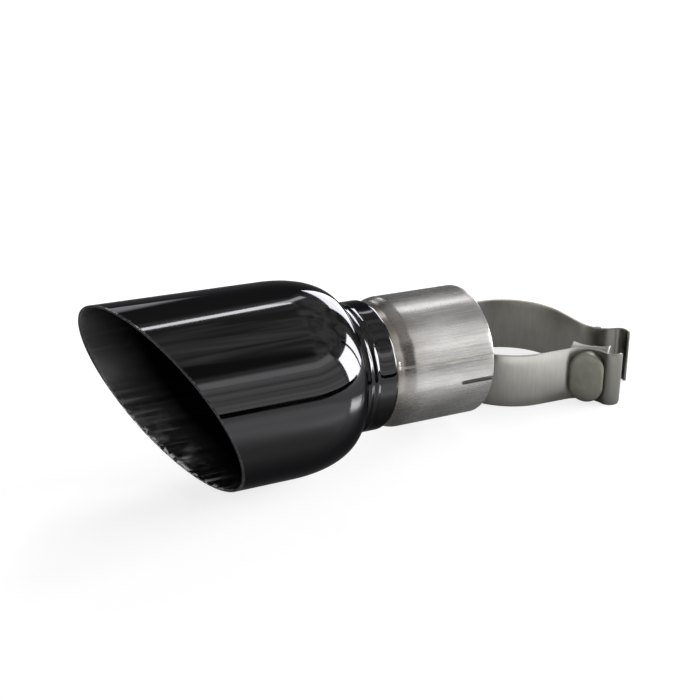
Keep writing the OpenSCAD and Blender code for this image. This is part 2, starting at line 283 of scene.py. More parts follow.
# The rounded lip has thin plating with dents of 1 to 2 mm. On its low and far side, specks of that
# size are painted near white: painted highlights of the lamps on the rim.
nicked_lip, tree, shader = new_finish("thin black plate on the lip")
dents_and_glints = add_node(tree, "ShaderNodeTexNoise", {"Vector": along_tip(tree, 600, 600), "Scale": 1.0, "Detail": 3.0})
across = add_node(tree, "ShaderNodeSeparateXYZ", {0: along_tip(tree)})
low_side = add_node(tree, "ShaderNodeMapRange", {"Value": across.outputs["Z"], "From Min": -30 * MM,
                                                 "From Max": 0.0, "To Min": 1.0, "To Max": 0.1})
far_side = add_node(tree, "ShaderNodeMapRange", {"Value": across.outputs["Y"], "From Min": -30 * MM,
                                                 "From Max": -10 * MM, "To Min": 0.15, "To Max": 1.0})
glint_side = add_node(tree, "ShaderNodeMath", {0: low_side, 1: far_side}, operation="MULTIPLY")
painted_specks = add_node(tree, "ShaderNodeMapRange", {"Value": dents_and_glints, "From Min": 0.4, "From Max": 0.65})
painted_specks = add_node(tree, "ShaderNodeMath", {0: painted_specks, 1: glint_side}, operation="MULTIPLY")
tones = add_node(tree, "ShaderNodeMix", {SHARE: painted_specks, FROM: paint("#3a3a3c"), TO: paint("#f0f0f0")},
                 data_type="RGBA")
dents = add_node(tree, "ShaderNodeBump", {"Height": dents_and_glints, "Strength": 0.6, "Distance": 0.4 * MM})
feed(tree, shader, {"Base Color": tones, "Roughness": 0.16, "Normal": dents})
shell.data.materials.append(nicked_lip)
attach(shell, "root")
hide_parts("outer_shell")


# Inlet tube
# Welded stainless tube. Its outer end is flared to slip over the car's pipe and has two slots with
# round ends, so that the clamp can close it. The other end stops just inside the shell.

TUBE_R = 33.25
TUBE_WALL = 1.6
TUBE_AROUND = 256
INLET_R = 34.925
INLET_START_X = -47.3
FLARE_LENGTH = 8.3
RIM_ROUND = 0.4
TUBE_END_X = -85.2
SLOT_LENGTH = 20.0
SLOT_WIDTH = 2.4
SLOT_TURNS = (94, 274)
PAST_RIM = 2


def tube_radius(x):
    """Outside radius of the tube: the small end, the soft flare and the inlet."""
    t = min(max((x - INLET_START_X + FLARE_LENGTH) / FLARE_LENGTH, 0), 1)
    return TUBE_R + (INLET_R - TUBE_R) * t * t * (3 - 2 * t)


def capped_faces(rows, around):
    """Faces between rows of points, with the first and the last row closed by a flat end."""
    ends = [tuple(range(around)), tuple(range((rows - 1) * around, rows * around))]
    return ring_faces(rows, around, False) + ends


def finished(piece):
    """Replaces a piece's mesh by what its modifiers make of it."""
    bpy.context.view_layer.update()
    made = bpy.data.meshes.new_from_object(piece.evaluated_get(bpy.context.evaluated_depsgraph_get()))
    piece.modifiers.clear()
    piece.data = made
    return piece


def combine(piece, other, operation):
    """Takes the other shape out of the piece, or joins or intersects the two. The other is used up."""
    change = piece.modifiers.new("combine", "BOOLEAN")
    change.operation = operation
    change.object = other
    change.solver = "EXACT"
    finished(piece)
    bpy.data.objects.remove(other)


tube_places = [TUBE_END_X + 0.3, -75, -65, -59]
tube_places += [INLET_START_X - FLARE_LENGTH + FLARE_LENGTH * i / 16 for i in range(17)]
tube_places += [-44, -38, -32, -26, -20, -14, -8, -3, -RIM_ROUND]
tube_rows = [(x, tube_radius(x)) for x in tube_places]
tube_rows += [(-RIM_ROUND + RIM_ROUND * sin(a), INLET_R - RIM_ROUND + RIM_ROUND * cos(a))
              for a in (radians(d) for d in (30, 60, 90))]
tube_rows += [(0, INLET_R - TUBE_WALL + 0.3), (-0.3, INLET_R - TUBE_WALL)]
tube_rows += [(x, tube_radius(x) - TUBE_WALL) for x in tube_places[-2::-1]]
tube_rows += [(TUBE_END_X, TUBE_R - TUBE_WALL + 0.2), (TUBE_END_X, TUBE_R - 0.3)]
tube = solid("tube", turned_rows(tube_rows, TUBE_AROUND), ring_faces(len(tube_rows), TUBE_AROUND, True))

# The cutter runs from past the rim to the slot's round end, and through the wall.
half = SLOT_WIDTH / 2
round_end = [(half - SLOT_LENGTH - half * sin(a), half * cos(a))
             for a in (radians(d) for d in range(15, 180, 15))]
outline = [(PAST_RIM, half), (half - SLOT_LENGTH, half)] + round_end
outline += [(half - SLOT_LENGTH, -half), (PAST_RIM, -half)]
for slot_turn in SLOT_TURNS:
    saw = [tip_point(x, math.hypot(r, w), radians(slot_turn) + math.atan2(w, r))
           for r in (INLET_R - 3 * TUBE_WALL, INLET_R + TUBE_WALL) for x, w in outline]
    combine(tube, solid("slot", saw, capped_faces(2, len(outline))), "DIFFERENCE")
smooth(tube, crease=40)

# Mill-finish stainless, brushed along its length: satin and a slightly warm grey, with soft clouds
# of 1 to 2 cm. The streaks of the brush are drawn coarser than real, 0.7 mm wide, so that they
# show. By the neck the steel is painted a darker brown: partly the welds' heat tint, partly painted
# shade by the shell's neck.
mill_steel, tree, shader = new_finish("mill finish stainless tube")
streaks = add_node(tree, "ShaderNodeTexNoise", {"Vector": along_tip(tree, 40, 1500), "Scale": 1.0,
                                                "Detail": 4.0})
clouds = add_node(tree, "ShaderNodeTexNoise", {"Vector": along_tip(tree, 45, 90), "Scale": 1.0, "Detail": 5.0})
both = add_node(tree, "ShaderNodeMath", {0: streaks, 1: clouds}, operation="ADD")
shade = add_node(tree, "ShaderNodeMapRange", {"Value": both, "From Min": 0.7, "From Max": 1.3})
tones = add_node(tree, "ShaderNodeMix", {SHARE: shade, FROM: paint("#8f8d8b"), TO: paint("#a9a7a6")},
                 data_type="RGBA")
from_inlet = add_node(tree, "ShaderNodeSeparateXYZ", {0: along_tip(tree)}).outputs["X"]
cloudy = add_node(tree, "ShaderNodeMath", {0: clouds, 1: 12 * MM, 2: from_inlet}, operation="MULTIPLY_ADD")
heat_tint_and_shade = add_node(tree, "ShaderNodeMapRange", {"Value": cloudy, "From Min": -52 * MM, "From Max": -36 * MM,
                                               "To Min": 0.85, "To Max": 0.0})
tinted_and_shaded = add_node(tree, "ShaderNodeMix", {SHARE: heat_tint_and_shade, FROM: tones, TO: paint("#6b655e")}, data_type="RGBA")
dull = add_node(tree, "ShaderNodeMapRange", {"Value": both, "From Min": 0.6, "From Max": 1.4,
                                             "To Min": 0.2, "To Max": 0.34})
brushing = add_node(tree, "ShaderNodeBump", {"Height": streaks, "Strength": 0.13, "Distance": 0.05 * MM})
feed(tree, shader, {"Base Color": tinted_and_shaded, "Roughness": dull, "Normal": brushing})
tube.data.materials.append(mill_steel)


def mottled_steel(name, lengthwise, crosswise, detail, dark, light, roughness):
    """A steel mottled between two colours, in so many grains to the metre."""
    finish, tree, shader = new_finish(name)
    mottle = add_node(tree, "ShaderNodeTexNoise", {"Vector": along_tip(tree, lengthwise, crosswise),
                                                   "Scale": 1.0, "Detail": detail})
    tones = add_node(tree, "ShaderNodeMix", {SHARE: mottle, FROM: paint(dark), TO: paint(light)},
                     data_type="RGBA")
    feed(tree, shader, {"Base Color": tones, "Roughness": roughness})
    return finish


# Inside, the tube was never brushed: it keeps the dull skin of the mill, mottled every 5 mm, and it
# is painted darker than the outside: painted shade inside the tube.
tube.data.materials.append(mottled_steel("unbrushed mill skin painted darker as shade", 60, 200, 4.0, "#555351", "#7d7b78", 0.42))

# The slots' walls are painted almost black, in specks of 2 mm: painted shade in the narrow slots.
tube.data.materials.append(mottled_steel("slot wall painted dark as shade", 500, 500, 3.0, "#0a0a0a", "#242220", 0.55))

# Slot walls face sideways, between the tube's ends. Faces well under the outside radius are inside.
tip_axis = Vector((cos(TIP_LEAN), 0, -sin(TIP_LEAN)))
for face in tube.data.polygons:
    along = face.center.dot(tip_axis)
    radial = face.center - tip_axis * along
    x, r = along / MM, radial.length / MM
    faces_out = face.normal.dot(radial.normalized())
    if abs(faces_out) < 0.3 and TUBE_END_X + 1 < x < -0.6:
        face.material_index = 2
    elif r < tube_radius(x) - 0.4 and x < -0.05:
        face.material_index = 1
    else:
        face.material_index = 0
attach(tube, "root")
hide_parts("inlet_tube")


# Seam of the tube
# The strip that the tube is rolled from is closed by a weld along its whole length. The bead is
# drawn as the row of frozen ripples that the torch leaves.

SEAM_TURN = 71.4
SEAM_PITCH = 0.9
SEAM_WIDTH = 1.5
SEAM_HEIGHT = 0.16


def weld_tree():
    """Geometry nodes that lay frozen ripples along a path whose points know which way is outwards."""
    tree = bpy.data.node_groups.new("weld ripples", "GeometryNodeTree")
    tree.interface.new_socket("Geometry", in_out="OUTPUT", socket_type="NodeSocketGeometry")
    tree.interface.new_socket("Geometry", in_out="INPUT", socket_type="NodeSocketGeometry")
    for name in ("Pitch", "Ripple length", "Ripple width", "Ripple height"):
        tree.interface.new_socket(name, in_out="INPUT", socket_type="NodeSocketFloat")
    tree.interface.new_socket("Metal", in_out="INPUT", socket_type="NodeSocketMaterial")
    given = add_node(tree, "NodeGroupInput").outputs
    path = add_node(tree, "GeometryNodeMeshToCurve", {"Mesh": given["Geometry"]})
    steps = add_node(tree, "GeometryNodeResampleCurve", {"Curve": path, "Length": given["Pitch"]},
                     mode="LENGTH")
    ball = add_node(tree, "GeometryNodeMeshUVSphere", {"Segments": 14, "Rings": 9, "Radius": 1.0})
    onward = add_node(tree, "GeometryNodeInputTangent")
    outward = add_node(tree, "GeometryNodeInputNamedAttribute", {"Name": "outward"}, data_type="FLOAT_VECTOR")
    along = add_node(tree, "FunctionNodeAlignRotationToVector", {"Vector": onward}, axis="X")
    facing = add_node(tree, "FunctionNodeAlignRotationToVector", {"Rotation": along, "Vector": outward},
                      axis="Z", pivot_axis="X")
    size = add_node(tree, "ShaderNodeCombineXYZ", {0: given["Ripple length"], 1: given["Ripple width"],
                                                   2: given["Ripple height"]})
    ripples = add_node(tree, "GeometryNodeInstanceOnPoints", {"Points": steps, "Instance": ball,
                                                              "Rotation": facing, "Scale": size})
    real = add_node(tree, "GeometryNodeRealizeInstances", {"Geometry": ripples})
    soft = add_node(tree, "GeometryNodeSetShadeSmooth", {"Geometry": real, "Shade Smooth": True})
    metal = add_node(tree, "GeometryNodeSetMaterial", {"Geometry": soft, "Material": given["Metal"]})
    add_node(tree, "NodeGroupOutput", {0: metal})
    return tree


ripple_tree = weld_tree()


def weld_bead(name, paths, sizes, metal):
    """A bead laid by the tree along each path: places of the tip as x, r and turn."""
    mesh = bpy.data.meshes.new(name)
    points, edges, outwards = [], [], []
    for path in paths:
        edges += [(len(points) + i, len(points) + i + 1) for i in range(len(path) - 1)]
        points += [tip_point(x, r, turn) for x, r, turn in path]
        outwards += [(tip_point(x, r + 1, turn) - tip_point(x, r, turn)).normalized() for x, r, turn in path]
    mesh.from_pydata(points, edges, [])
    outward = mesh.attributes.new("outward", "FLOAT_VECTOR", "POINT")
    outward.data.foreach_set("vector", [c for direction in outwards for c in direction])
    piece = bpy.data.objects.new(name, mesh)
    bpy.context.scene.collection.objects.link(piece)
    torch = piece.modifiers.new("weld", "NODES")
    torch.node_group = ripple_tree
    values = {size: length * MM for size, length in sizes.items()}
    values["Metal"] = metal
    for item in ripple_tree.interface.items_tree:
        if item.in_out == "INPUT" and item.name in values:
            torch[item.identifier] = values[item.name]
    return finished(piece)


# Weld metal pressed almost flush by the rolls: darker and rougher than the tube, a warm grey with a
# grain of 1 mm.
seam_metal = mottled_steel("rolled weld seam", 900, 900, 3.0, "#77746f", "#9a9792", 0.42)

seam_start, seam_step = NECK_EDGE_X + 1.5, 0.5
seam_path = [(x, tube_radius(x) - 0.02, radians(SEAM_TURN)) for x in
             (seam_start + seam_step * i for i in range(int((-NECK_EDGE_X - 2.2) / seam_step)))]
seam = weld_bead("seam_bead", [seam_path], {"Pitch": SEAM_PITCH, "Ripple length": SEAM_PITCH * 0.8,
                                            "Ripple width": SEAM_WIDTH / 2, "Ripple height": SEAM_HEIGHT},
                 seam_metal)
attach(seam, "root")


# Tack welds
# Three short fillets between the edge of the shell's neck and the tube, the only things that hold
# the two together. Each is a few overlapping drops, with the heat's straw and brown tint.

TACK_TURNS = (69, 189, 309)
TACK_SWEEP = 6.48
TACK_STEPS = 8

# Weld metal as it froze, with heat colours in specks of 2 mm.
tack_metal, tree, shader = new_finish("tack weld metal")
burn = add_node(tree, "ShaderNodeTexNoise", {"Vector": along_tip(tree, 500, 500), "Scale": 1.0, "Detail": 3.0})
tint = add_node(tree, "ShaderNodeValToRGB", {"Fac": burn})
for stop, position, colour in zip(tint.color_ramp.elements, (0.3, 0.65), ("#6f665e", "#a8a4a0")):
    stop.position = position
    stop.color = paint(colour)
feed(tree, shader, {"Base Color": tint, "Roughness": 0.34})

tack_paths = []
for tack_turn in TACK_TURNS:
    turns = (tack_turn + TACK_SWEEP * (i / TACK_STEPS - 0.5) for i in range(TACK_STEPS + 1))
    tack_paths.append([(NECK_EDGE_X + 0.55, TUBE_R + 0.35, radians(turn)) for turn in turns])
tacks = weld_bead("tack_beads", tack_paths, {"Pitch": 0.95, "Ripple length": 1.0, "Ripple width": 1.5,
                                             "Ripple height": 0.85}, tack_metal)
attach(tacks, "root")
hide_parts("tack_welds")


# Clamp band
# One strip of stainless, bent into a ring with two ears. Each ear has a valley pressed into it for
# the bolt's head or bar, and its end is curled round. It stands on its edge, loosened, by the inlet.

CLAMP_X, CLAMP_Y = 55.5, 28.0
CLAMP_TURN = radians(-48.5)
BAND_WIDTH = 31.75
BAND_THICK = 1.5
BAND_EDGE = 0.4
END_THICKNESS = 0.55
RING_R = 39.22
BOLT_U = 50.0
VALLEY_V = 31.9
VALLEY_R = 16.5
CURL_R = 6.0
CURL_SLOPE = 33.6
CURL_PAST = 12.0
EAR_CORNER = 4.0
HOLE_R = 5.3
DRILL_REACH = 40
BOLT_Z = BAND_WIDTH / 2
FLOOR_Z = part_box("clamp_band")[0].z


def clamp_point(u, v, z):
    """A point of the clamp: u out along its ears, v across them and z up from the floor, in place."""
    return Vector((CLAMP_X + u * cos(CLAMP_TURN) - v * sin(CLAMP_TURN),
                   CLAMP_Y + u * sin(CLAMP_TURN) + v * cos(CLAMP_TURN), z)) * MM + Vector((0, 0, FLOOR_Z))


def arc(centre, r, start, end, step):
    """Points of an arc, with its turns in degrees."""
    count = math.ceil(abs(end - start) / step)
    turns = (radians(start + (end - start) * i / count) for i in range(count + 1))
    return [(centre[0] + r * cos(a), centre[1] + r * sin(a)) for a in turns]


def bolt_ring(r, v, around):
    """A ring of points round the bolt's line."""
    turns = (2 * math.pi * i / around for i in range(around))
    return [clamp_point(BOLT_U + r * cos(a), v, BOLT_Z + r * sin(a)) for a in turns]


def drill(piece, start_v, end_v):
    """Drills the bolt's hole through a piece, from one v to the other."""
    around = 64
    rows = bolt_ring(HOLE_R, start_v, around) + bolt_ring(HOLE_R, end_v, around)
    combine(piece, solid("bolt_way", rows, capped_faces(2, around)), "DIFFERENCE")


# The strip's middle line as u and v: half of it is the curl, the valley, the leg and half the ring.
middle = BAND_THICK / 2
valley_reach = math.hypot(BOLT_U, VALLEY_V)
leg_turn = math.degrees(math.atan2(VALLEY_V, BOLT_U) + math.acos((RING_R + VALLEY_R + middle) / valley_reach))
curl_reach = VALLEY_R + CURL_R
curl_centre = (BOLT_U + curl_reach * sin(radians(CURL_SLOPE)), VALLEY_V - curl_reach * cos(radians(CURL_SLOPE)))
ear_line = arc(curl_centre, CURL_R - middle, -CURL_PAST, 90 + CURL_SLOPE, step=3)
ear_line += arc((BOLT_U, VALLEY_V), VALLEY_R + middle, 270 + CURL_SLOPE, 180 + leg_turn, step=2.5)[1:]
ear_line += arc((0, 0), RING_R, leg_turn, 180, step=2)
band_line = ear_line + [(u, -v) for u, v in ear_line[-2::-1]]
travelled = [0]
for here, after in zip(band_line, band_line[1:]):
    travelled.append(travelled[-1] + math.dist(here, after))

# At each point stands a loop round the strip's section, with rounded edges. Towards the strip's
# ends it gets lower by the ears' round corners, and thinner by the rounding of the end.
band_points = []
for i, (u, v) in enumerate(band_line):
    before, after = band_line[max(i - 1, 0)], band_line[min(i + 1, len(band_line) - 1)]
    length = math.dist(before, after)
    side = ((after[1] - before[1]) / length, (before[0] - after[0]) / length)
    from_end = min(travelled[i], travelled[-1] - travelled[i])
    corner = EAR_CORNER - math.sqrt(max(EAR_CORNER ** 2 - max(EAR_CORNER - from_end, 0) ** 2, 0))
    tall = BAND_WIDTH / 2 - corner
    thin = min(1, END_THICKNESS + (1 - END_THICKNESS) * from_end / BAND_EDGE)
    loop = [(middle - BAND_EDGE + BAND_EDGE * cos(a), tall - BAND_EDGE + BAND_EDGE * sin(a))
            for a in (radians(d) for d in range(0, 91, 30))]
    loop += [(-n, z) for n, z in loop[::-1]]
    loop += [(-middle, z) for z in (tall * 0.6, 0, -tall * 0.6)]
    loop += [(n, -z) for n, z in loop[7:3:-1]] + [(-n, -z) for n, z in loop[4:8]]
    loop += [(middle, z) for z in (-tall * 0.6, 0, tall * 0.6)]
    for n, z in loop:
        band_points.append(clamp_point(u + side[0] * n * thin, v + side[1] * n * thin, BOLT_Z + z))
band = solid("band", band_points, capped_faces(len(band_line), len(loop)))
drill(band, -DRILL_REACH, DRILL_REACH)
smooth(band, crease=45)

# Stainless strip, tumbled to a satin: a warm, quiet grey with dull clouds of 11 mm from handling, and
# a fine upright grain that is drawn 1.3 mm wide so that it shows. The ears and curls are painted
# darker than the ring: painted shade.
satin_strip, tree, shader = new_finish("tumbled stainless strip")
place = add_node(tree, "ShaderNodeTexCoord").outputs["Object"]
upright = add_node(tree, "ShaderNodeMapping", {"Vector": place, "Scale": (800, 800, 90)})
grain = add_node(tree, "ShaderNodeTexNoise", {"Vector": upright, "Scale": 1.0, "Detail": 4.0})
clouds = add_node(tree, "ShaderNodeTexNoise", {"Vector": place, "Scale": 90.0, "Detail": 5.0})
both = add_node(tree, "ShaderNodeMath", {0: grain, 1: clouds}, operation="ADD")
shade = add_node(tree, "ShaderNodeMapRange", {"Value": both, "From Min": 0.7, "From Max": 1.3})
tones = add_node(tree, "ShaderNodeMix", {SHARE: shade, FROM: paint("#bdbbb5"), TO: paint("#cccac4")},
                 data_type="RGBA")
level = add_node(tree, "ShaderNodeVectorMath", {0: place, 1: (1, 1, 0)}, operation="MULTIPLY")
from_ring = add_node(tree, "ShaderNodeVectorMath", {0: level, 1: (CLAMP_X * MM, CLAMP_Y * MM, 0)},
                     operation="DISTANCE")
painted_ear_shade = add_node(tree, "ShaderNodeMapRange", {"Value": from_ring, "From Min": 43 * MM, "From Max": 52 * MM})
tones = add_node(tree, "ShaderNodeMix", {SHARE: painted_ear_shade, FROM: tones, TO: paint("#7a7974")}, data_type="RGBA")
dull = add_node(tree, "ShaderNodeMapRange", {"Value": both, "From Min": 0.6, "From Max": 1.4,
                                             "To Min": 0.27, "To Max": 0.37})
tumbled = add_node(tree, "ShaderNodeBump", {"Height": both, "Strength": 0.15, "Distance": 0.03 * MM})
feed(tree, shader, {"Base Color": tones, "Roughness": dull, "Normal": tumbled})
band.data.materials.append(satin_strip)
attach(band, "root")
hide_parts("clamp_band")


# Spacer
# A short length of drawn steel bar with two hollow sides, sawn off as wide as the band. It keeps
# the ears apart and square when the bolt is drawn tight.

SPACER_LENGTH = 21.5
SPACER_ENDS = 9.8
SPACER_WAIST = 3.2
SPACER_STEPS = 16
SEAT = 0.05
EAR_HALF_GAP = 13.9


def round_edges(piece, width):
    """Breaks every sharp edge of a piece by a small round."""
    edge = piece.modifiers.new("edges", "BEVEL")
    edge.width = width * MM
    edge.segments = 3
    edge.limit_method = "ANGLE"
    edge.angle_limit = radians(32)
    finished(piece)


hollow_r = VALLEY_R + BAND_THICK + SEAT
middle_v = -EAR_HALF_GAP + SEAT + SPACER_WAIST / 2
hollow = []
for i in range(-SPACER_STEPS, SPACER_STEPS + 1):
    du = i / SPACER_STEPS * SPACER_LENGTH / 2
    drop = hollow_r - math.sqrt(hollow_r ** 2 - du ** 2)
    hollow.append((BOLT_U + du, min(SPACER_WAIST / 2 + drop, SPACER_ENDS / 2)))
block_line = [(u, middle_v - half) for u, half in hollow] + [(u, middle_v + half) for u, half in hollow[::-1]]
block_points = [clamp_point(u, v, z) for z in (0, BAND_WIDTH) for u, v in block_line]
spacer = solid("spacer", block_points, capped_faces(2, len(block_line)))
round_edges(spacer, width=0.4)
drill(spacer, -DRILL_REACH, DRILL_REACH)
smooth(spacer, crease=35)

# Cold-drawn steel with a dull plating: darker and pinker than the band's ring. The fine scores of
# the die and the saw are drawn 1.1 mm apart so that they show.
drawn_steel, tree, shader = new_finish("plated drawn steel bar")
place = add_node(tree, "ShaderNodeTexCoord").outputs["Object"]
upright = add_node(tree, "ShaderNodeMapping", {"Vector": place, "Scale": (900, 900, 45)})
scores = add_node(tree, "ShaderNodeTexNoise", {"Vector": upright, "Scale": 1.0, "Detail": 3.0})
tones = add_node(tree, "ShaderNodeMix", {SHARE: scores, FROM: paint("#827d79"), TO: paint("#a09b97")},
                 data_type="RGBA")
scored = add_node(tree, "ShaderNodeBump", {"Height": scores, "Strength": 0.4, "Distance": 0.06 * MM})
feed(tree, shader, {"Base Color": tones, "Roughness": 0.3, "Normal": scored})
spacer.data.materials.append(drawn_steel)
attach(spacer, "root")
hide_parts("clamp_spacer")


# Bolt
# A forged bolt with an oval head. Its back is round and lies in the front ear's valley, so that the
# bolt can't turn while the nut is tightened. The shank is threaded almost up to the spacer.

HEAD_LENGTH = 30.0
HEAD_WIDTH = 19.4
HEAD_FACE_V = 21.5
OVAL_AROUND = 64
BOLT_R = 4.95
BOLT_AROUND = 40
BOLT_TAPER = 1.2
BOLT_END_V = 33.2
THREAD_PITCH = 1.5
THREAD_DEPTH = 0.8
THREAD_START_V = -6.0
THREAD_RUN_IN = 2


def oval_loop(inset, v_at):
    """A loop of points round the oval head or bar, shrunk by the inset, with v from u."""
    loop = []
    for i in range(OVAL_AROUND):
        a = 2 * math.pi * i / OVAL_AROUND
        lift = (HEAD_LENGTH - HEAD_WIDTH) / 2 * (1 if sin(a) >= 0 else -1)
        r = HEAD_WIDTH / 2 - inset
        loop.append(clamp_point(BOLT_U + r * cos(a), v_at(r * cos(a)), BOLT_Z + lift + r * sin(a)))
    return loop


def oval_block(name, side, face_v, edge_round, crown):
    """The head or the bar: a round back that lies in the valley, and a face with a rounded rim."""

    def back(du):
        return side * (VALLEY_V - math.sqrt((VALLEY_R - SEAT) ** 2 - du ** 2))

    points = []
    for inset in (9.5, 7, 4, 1.5, 0.4):
        points += oval_loop(inset, back)
    points += oval_loop(0, lambda du: back(du) + side * 0.25)
    for a in (radians(d) for d in range(0, 91, 15)):
        points += oval_loop(edge_round * (1 - cos(a)),
                            lambda du: side * (face_v - edge_round + (edge_round - crown) * sin(a)))
    for inset, share in ((edge_round + 1, 0.35), (edge_round + 3, 0.75), (6.5, 0.95), (9.5, 1)):
        points += oval_loop(inset, lambda du: side * (face_v - crown * (1 - share)))
    return solid(name, points, capped_faces(len(points) // OVAL_AROUND, OVAL_AROUND))


bolt = oval_block("bolt", -1, HEAD_FACE_V, edge_round=1.4, crown=0.12)
shank_points = []
v = -HEAD_FACE_V + 3
while v < BOLT_END_V + 1e-6:
    run_in = min(1, max(0, (v - THREAD_START_V) / THREAD_RUN_IN))
    for i in range(BOLT_AROUND):
        a = 2 * math.pi * i / BOLT_AROUND
        phase = (v / THREAD_PITCH - i / BOLT_AROUND) % 1
        groove = THREAD_DEPTH * (1 - abs(2 * phase - 1)) * run_in
        point_r = min(BOLT_R - groove, BOLT_R - BOLT_TAPER + max(BOLT_END_V - v, 0))
        shank_points.append(clamp_point(BOLT_U + point_r * cos(a), v, BOLT_Z + point_r * sin(a)))
    v += THREAD_PITCH / 8
shank = solid("shank", shank_points, capped_faces(len(shank_points) // BOLT_AROUND, BOLT_AROUND))
combine(bolt, shank, "UNION")
smooth(bolt, crease=38)

# Forged steel, tumbled and dulled: darker and slightly olive next to the band, with soft clouds of
# 6 mm. The pits of its skin are drawn 1.1 mm apart so that they show.
forged_steel, tree, shader = new_finish("tumbled forged steel")
place = add_node(tree, "ShaderNodeTexCoord").outputs["Object"]
pits = add_node(tree, "ShaderNodeTexNoise", {"Vector": place, "Scale": 900.0, "Detail": 3.0})
clouds = add_node(tree, "ShaderNodeTexNoise", {"Vector": place, "Scale": 160.0, "Detail": 4.0})
tones = add_node(tree, "ShaderNodeMix", {SHARE: clouds, FROM: paint("#6e6e64"), TO: paint("#9a998f")},
                 data_type="RGBA")
pitted = add_node(tree, "ShaderNodeBump", {"Height": pits, "Strength": 0.6, "Distance": 0.12 * MM})
feed(tree, shader, {"Base Color": tones, "Roughness": 0.4, "Normal": pitted})
bolt.data.materials.append(forged_steel)
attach(bolt, "root")
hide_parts("clamp_bolt")


# Bar
# A half-round bar in the back ear's valley, drilled for the bolt. Its round side lies in the
# valley, and its flat back spreads the load of the nut. It is cut from the same stock as the spacer.

BAR_BACK_V = 18.8

bar = oval_block("bar", 1, BAR_BACK_V, edge_round=0.5, crown=0)
drill(bar, 0, DRILL_REACH)
smooth(bar, crease=35)
bar.data.materials.append(drawn_steel)
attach(bar, "root")
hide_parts("clamp_bar")


# Washer
# A stamped washer between the bar and the nut. Stamping rounds one of its rims.

WASHER_R = 10.0
WASHER_BACK_V = 20.8


def turned_on_bolt(name, section):
    """A shape turned about the bolt's line from a closed section of v and r."""
    around = 96
    points = []
    for v, r in section:
        points += bolt_ring(r, v, around)
    return solid(name, points, ring_faces(len(section), around, True))


washer = turned_on_bolt("washer", [
    (BAR_BACK_V, HOLE_R + 0.1), (BAR_BACK_V, WASHER_R - 0.15), (BAR_BACK_V + 0.15, WASHER_R),
    (WASHER_BACK_V - 0.6, WASHER_R), (WASHER_BACK_V - 0.25, WASHER_R - 0.1),
    (WASHER_BACK_V - 0.05, WASHER_R - 0.35), (WASHER_BACK_V, WASHER_R - 0.7),
    (WASHER_BACK_V, HOLE_R + 0.1), (WASHER_BACK_V - 0.2, HOLE_R), (BAR_BACK_V + 0.2, HOLE_R)])
smooth(washer, crease=40)

# Steel with bright zinc plate: pale, a little blue, with the faint spangle of the plating bath, in
# grains of 2.4 mm.
zinc_plate, tree, shader = new_finish("bright zinc plate")
place = add_node(tree, "ShaderNodeTexCoord").outputs["Object"]
spangle = add_node(tree, "ShaderNodeTexNoise", {"Vector": place, "Scale": 420.0, "Detail": 4.0})
tones = add_node(tree, "ShaderNodeMix", {SHARE: spangle, FROM: paint("#a3a6a8"), TO: paint("#c3c5c6")},
                 data_type="RGBA")
dull = add_node(tree, "ShaderNodeMapRange", {"Value": spangle, "To Min": 0.24, "To Max": 0.44})
feed(tree, shader, {"Base Color": tones, "Roughness": dull})
washer.data.materials.append(zinc_plate)
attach(washer, "root")
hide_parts("clamp_washer")


# Nut
# A hexagon nut with both rims chamfered, run down on the washer. It is plated like the washer.

NUT_R = 17.0 / 2 / cos(radians(30))
NUT_FACE_R = 8.3
NUT_CHAMFER = 0.9
NUT_BACK_V = 29.2
NUT_BORE = 5.0

nut = solid("nut", bolt_ring(NUT_R, WASHER_BACK_V, 6) + bolt_ring(NUT_R, NUT_BACK_V, 6), capped_faces(2, 6))
chamfer = turned_on_bolt("chamfer", [
    (WASHER_BACK_V - 0.01, NUT_BORE + 0.4), (WASHER_BACK_V - 0.01, NUT_FACE_R),
    (WASHER_BACK_V + NUT_CHAMFER, NUT_R + 0.05), (NUT_BACK_V - NUT_CHAMFER, NUT_R + 0.05),
    (NUT_BACK_V + 0.01, NUT_FACE_R), (NUT_BACK_V + 0.01, NUT_BORE + 0.4),
    (NUT_BACK_V - 0.5, NUT_BORE), (WASHER_BACK_V + 0.5, NUT_BORE)])
combine(nut, chamfer, "INTERSECT")
smooth(nut, crease=25)
nut.data.materials.append(zinc_plate)
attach(nut, "root")
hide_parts("clamp_nut")


# Table
# A white table top that runs out of sight. The camera sees it almost white, with the soft shadow
# under the pieces. The metal sees it darker under and behind the pieces, where they keep light off.
# From here on, the sizes are the studio's and in metres.

TABLE_REACH = 12.0
TABLE_Z = FLOOR_Z - 0.02 * MM
table_points = [Vector((x * TABLE_REACH, y * TABLE_REACH, TABLE_Z))
                for x, y in ((-1, -1), (1, -1), (1, 1), (-1, 1))]
table = solid("table", table_points, [(0, 1, 2, 3)])

# Laminate: matt paper under a thin clear skin. The way from the middle of the tip is counted in
# ovals: 0.03 is an oval of 12 by 4 cm, and 0.17 is one of 68 by 24 cm.
table_white = bpy.data.materials.new("white laminate")
table_white.use_nodes = True
tree = table_white.node_tree
tree.nodes.clear()
ray = add_node(tree, "ShaderNodeLightPath").outputs
spot = add_node(tree, "ShaderNodeTexCoord").outputs["Object"]
across = add_node(tree, "ShaderNodeSeparateXYZ", {0: spot}).outputs
under = add_node(tree, "ShaderNodeMapping", {"Vector": spot, "Location": (0.045, 0, 0), "Scale": (0.5, 1.4, 0)})
away = add_node(tree, "ShaderNodeVectorMath", {0: under}, operation="LENGTH")
near = add_node(tree, "ShaderNodeMapRange", {"Value": away, "From Min": 0.03, "From Max": 0.17,
                                             "To Min": 0.9, "To Max": 0.0})
behind = add_node(tree, "ShaderNodeMapRange", {"Value": across["Y"], "From Min": 0.02, "From Max": 0.12})
